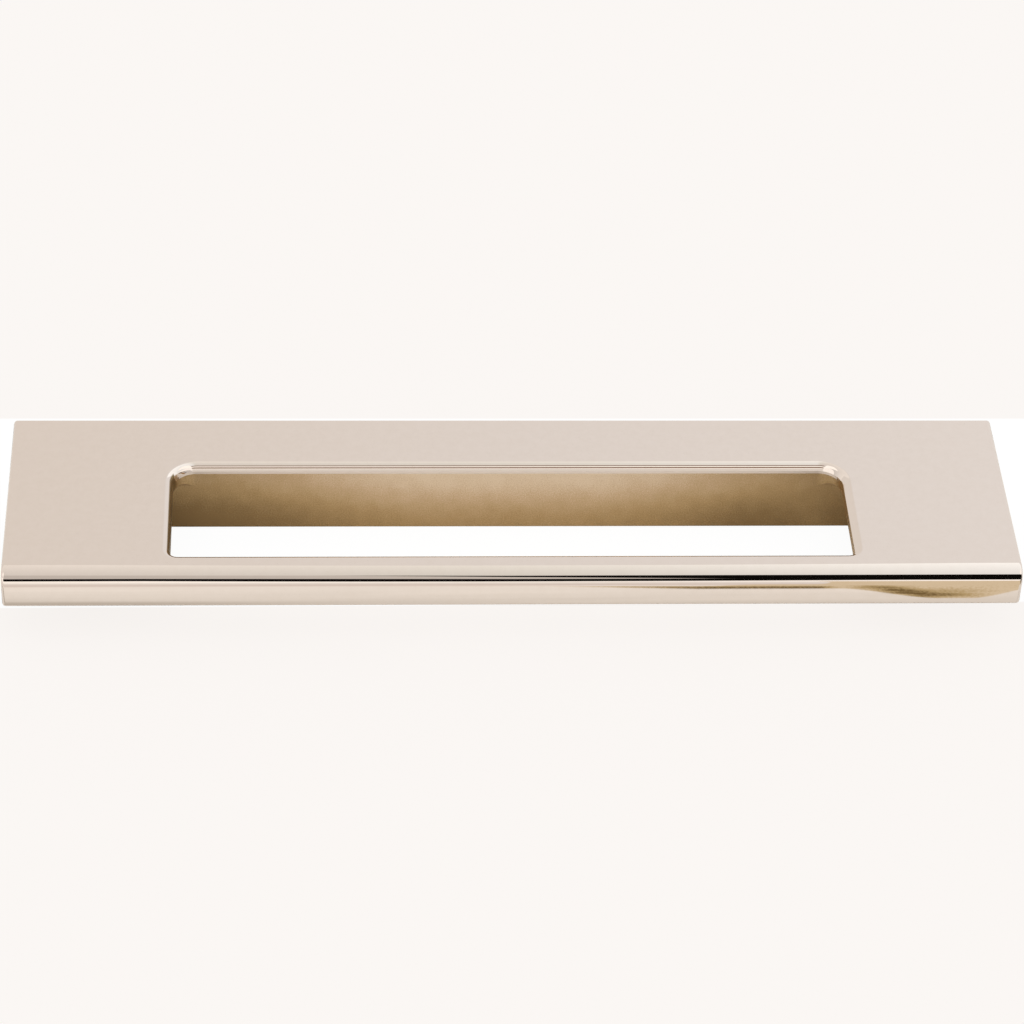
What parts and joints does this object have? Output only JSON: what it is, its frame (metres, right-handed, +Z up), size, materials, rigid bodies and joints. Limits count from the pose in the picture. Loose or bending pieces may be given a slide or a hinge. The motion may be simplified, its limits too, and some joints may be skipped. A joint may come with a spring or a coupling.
{
  "type": "tab pull",
  "caption": "Polished cast tab pull: a thin plate from a hanging flange to a slim front bar, with a long finger opening between them, screwed on from behind.",
  "frame": {"origin": "on the flat back face, halfway between the two screw holes", "axes": "+X along the pull, +Y into the drawer front that it is screwed to, +Z up"},
  "size_m": [0.127, 0.0302, 0.0104],
  "materials": {
    "polished_nickel": "polished nickel plate, a mirror finish on the outside and less polish in the opening"
  },
  "bodies": {
    "root": {"tab_pull": "polished_nickel"}
  },
  "joints": []
}
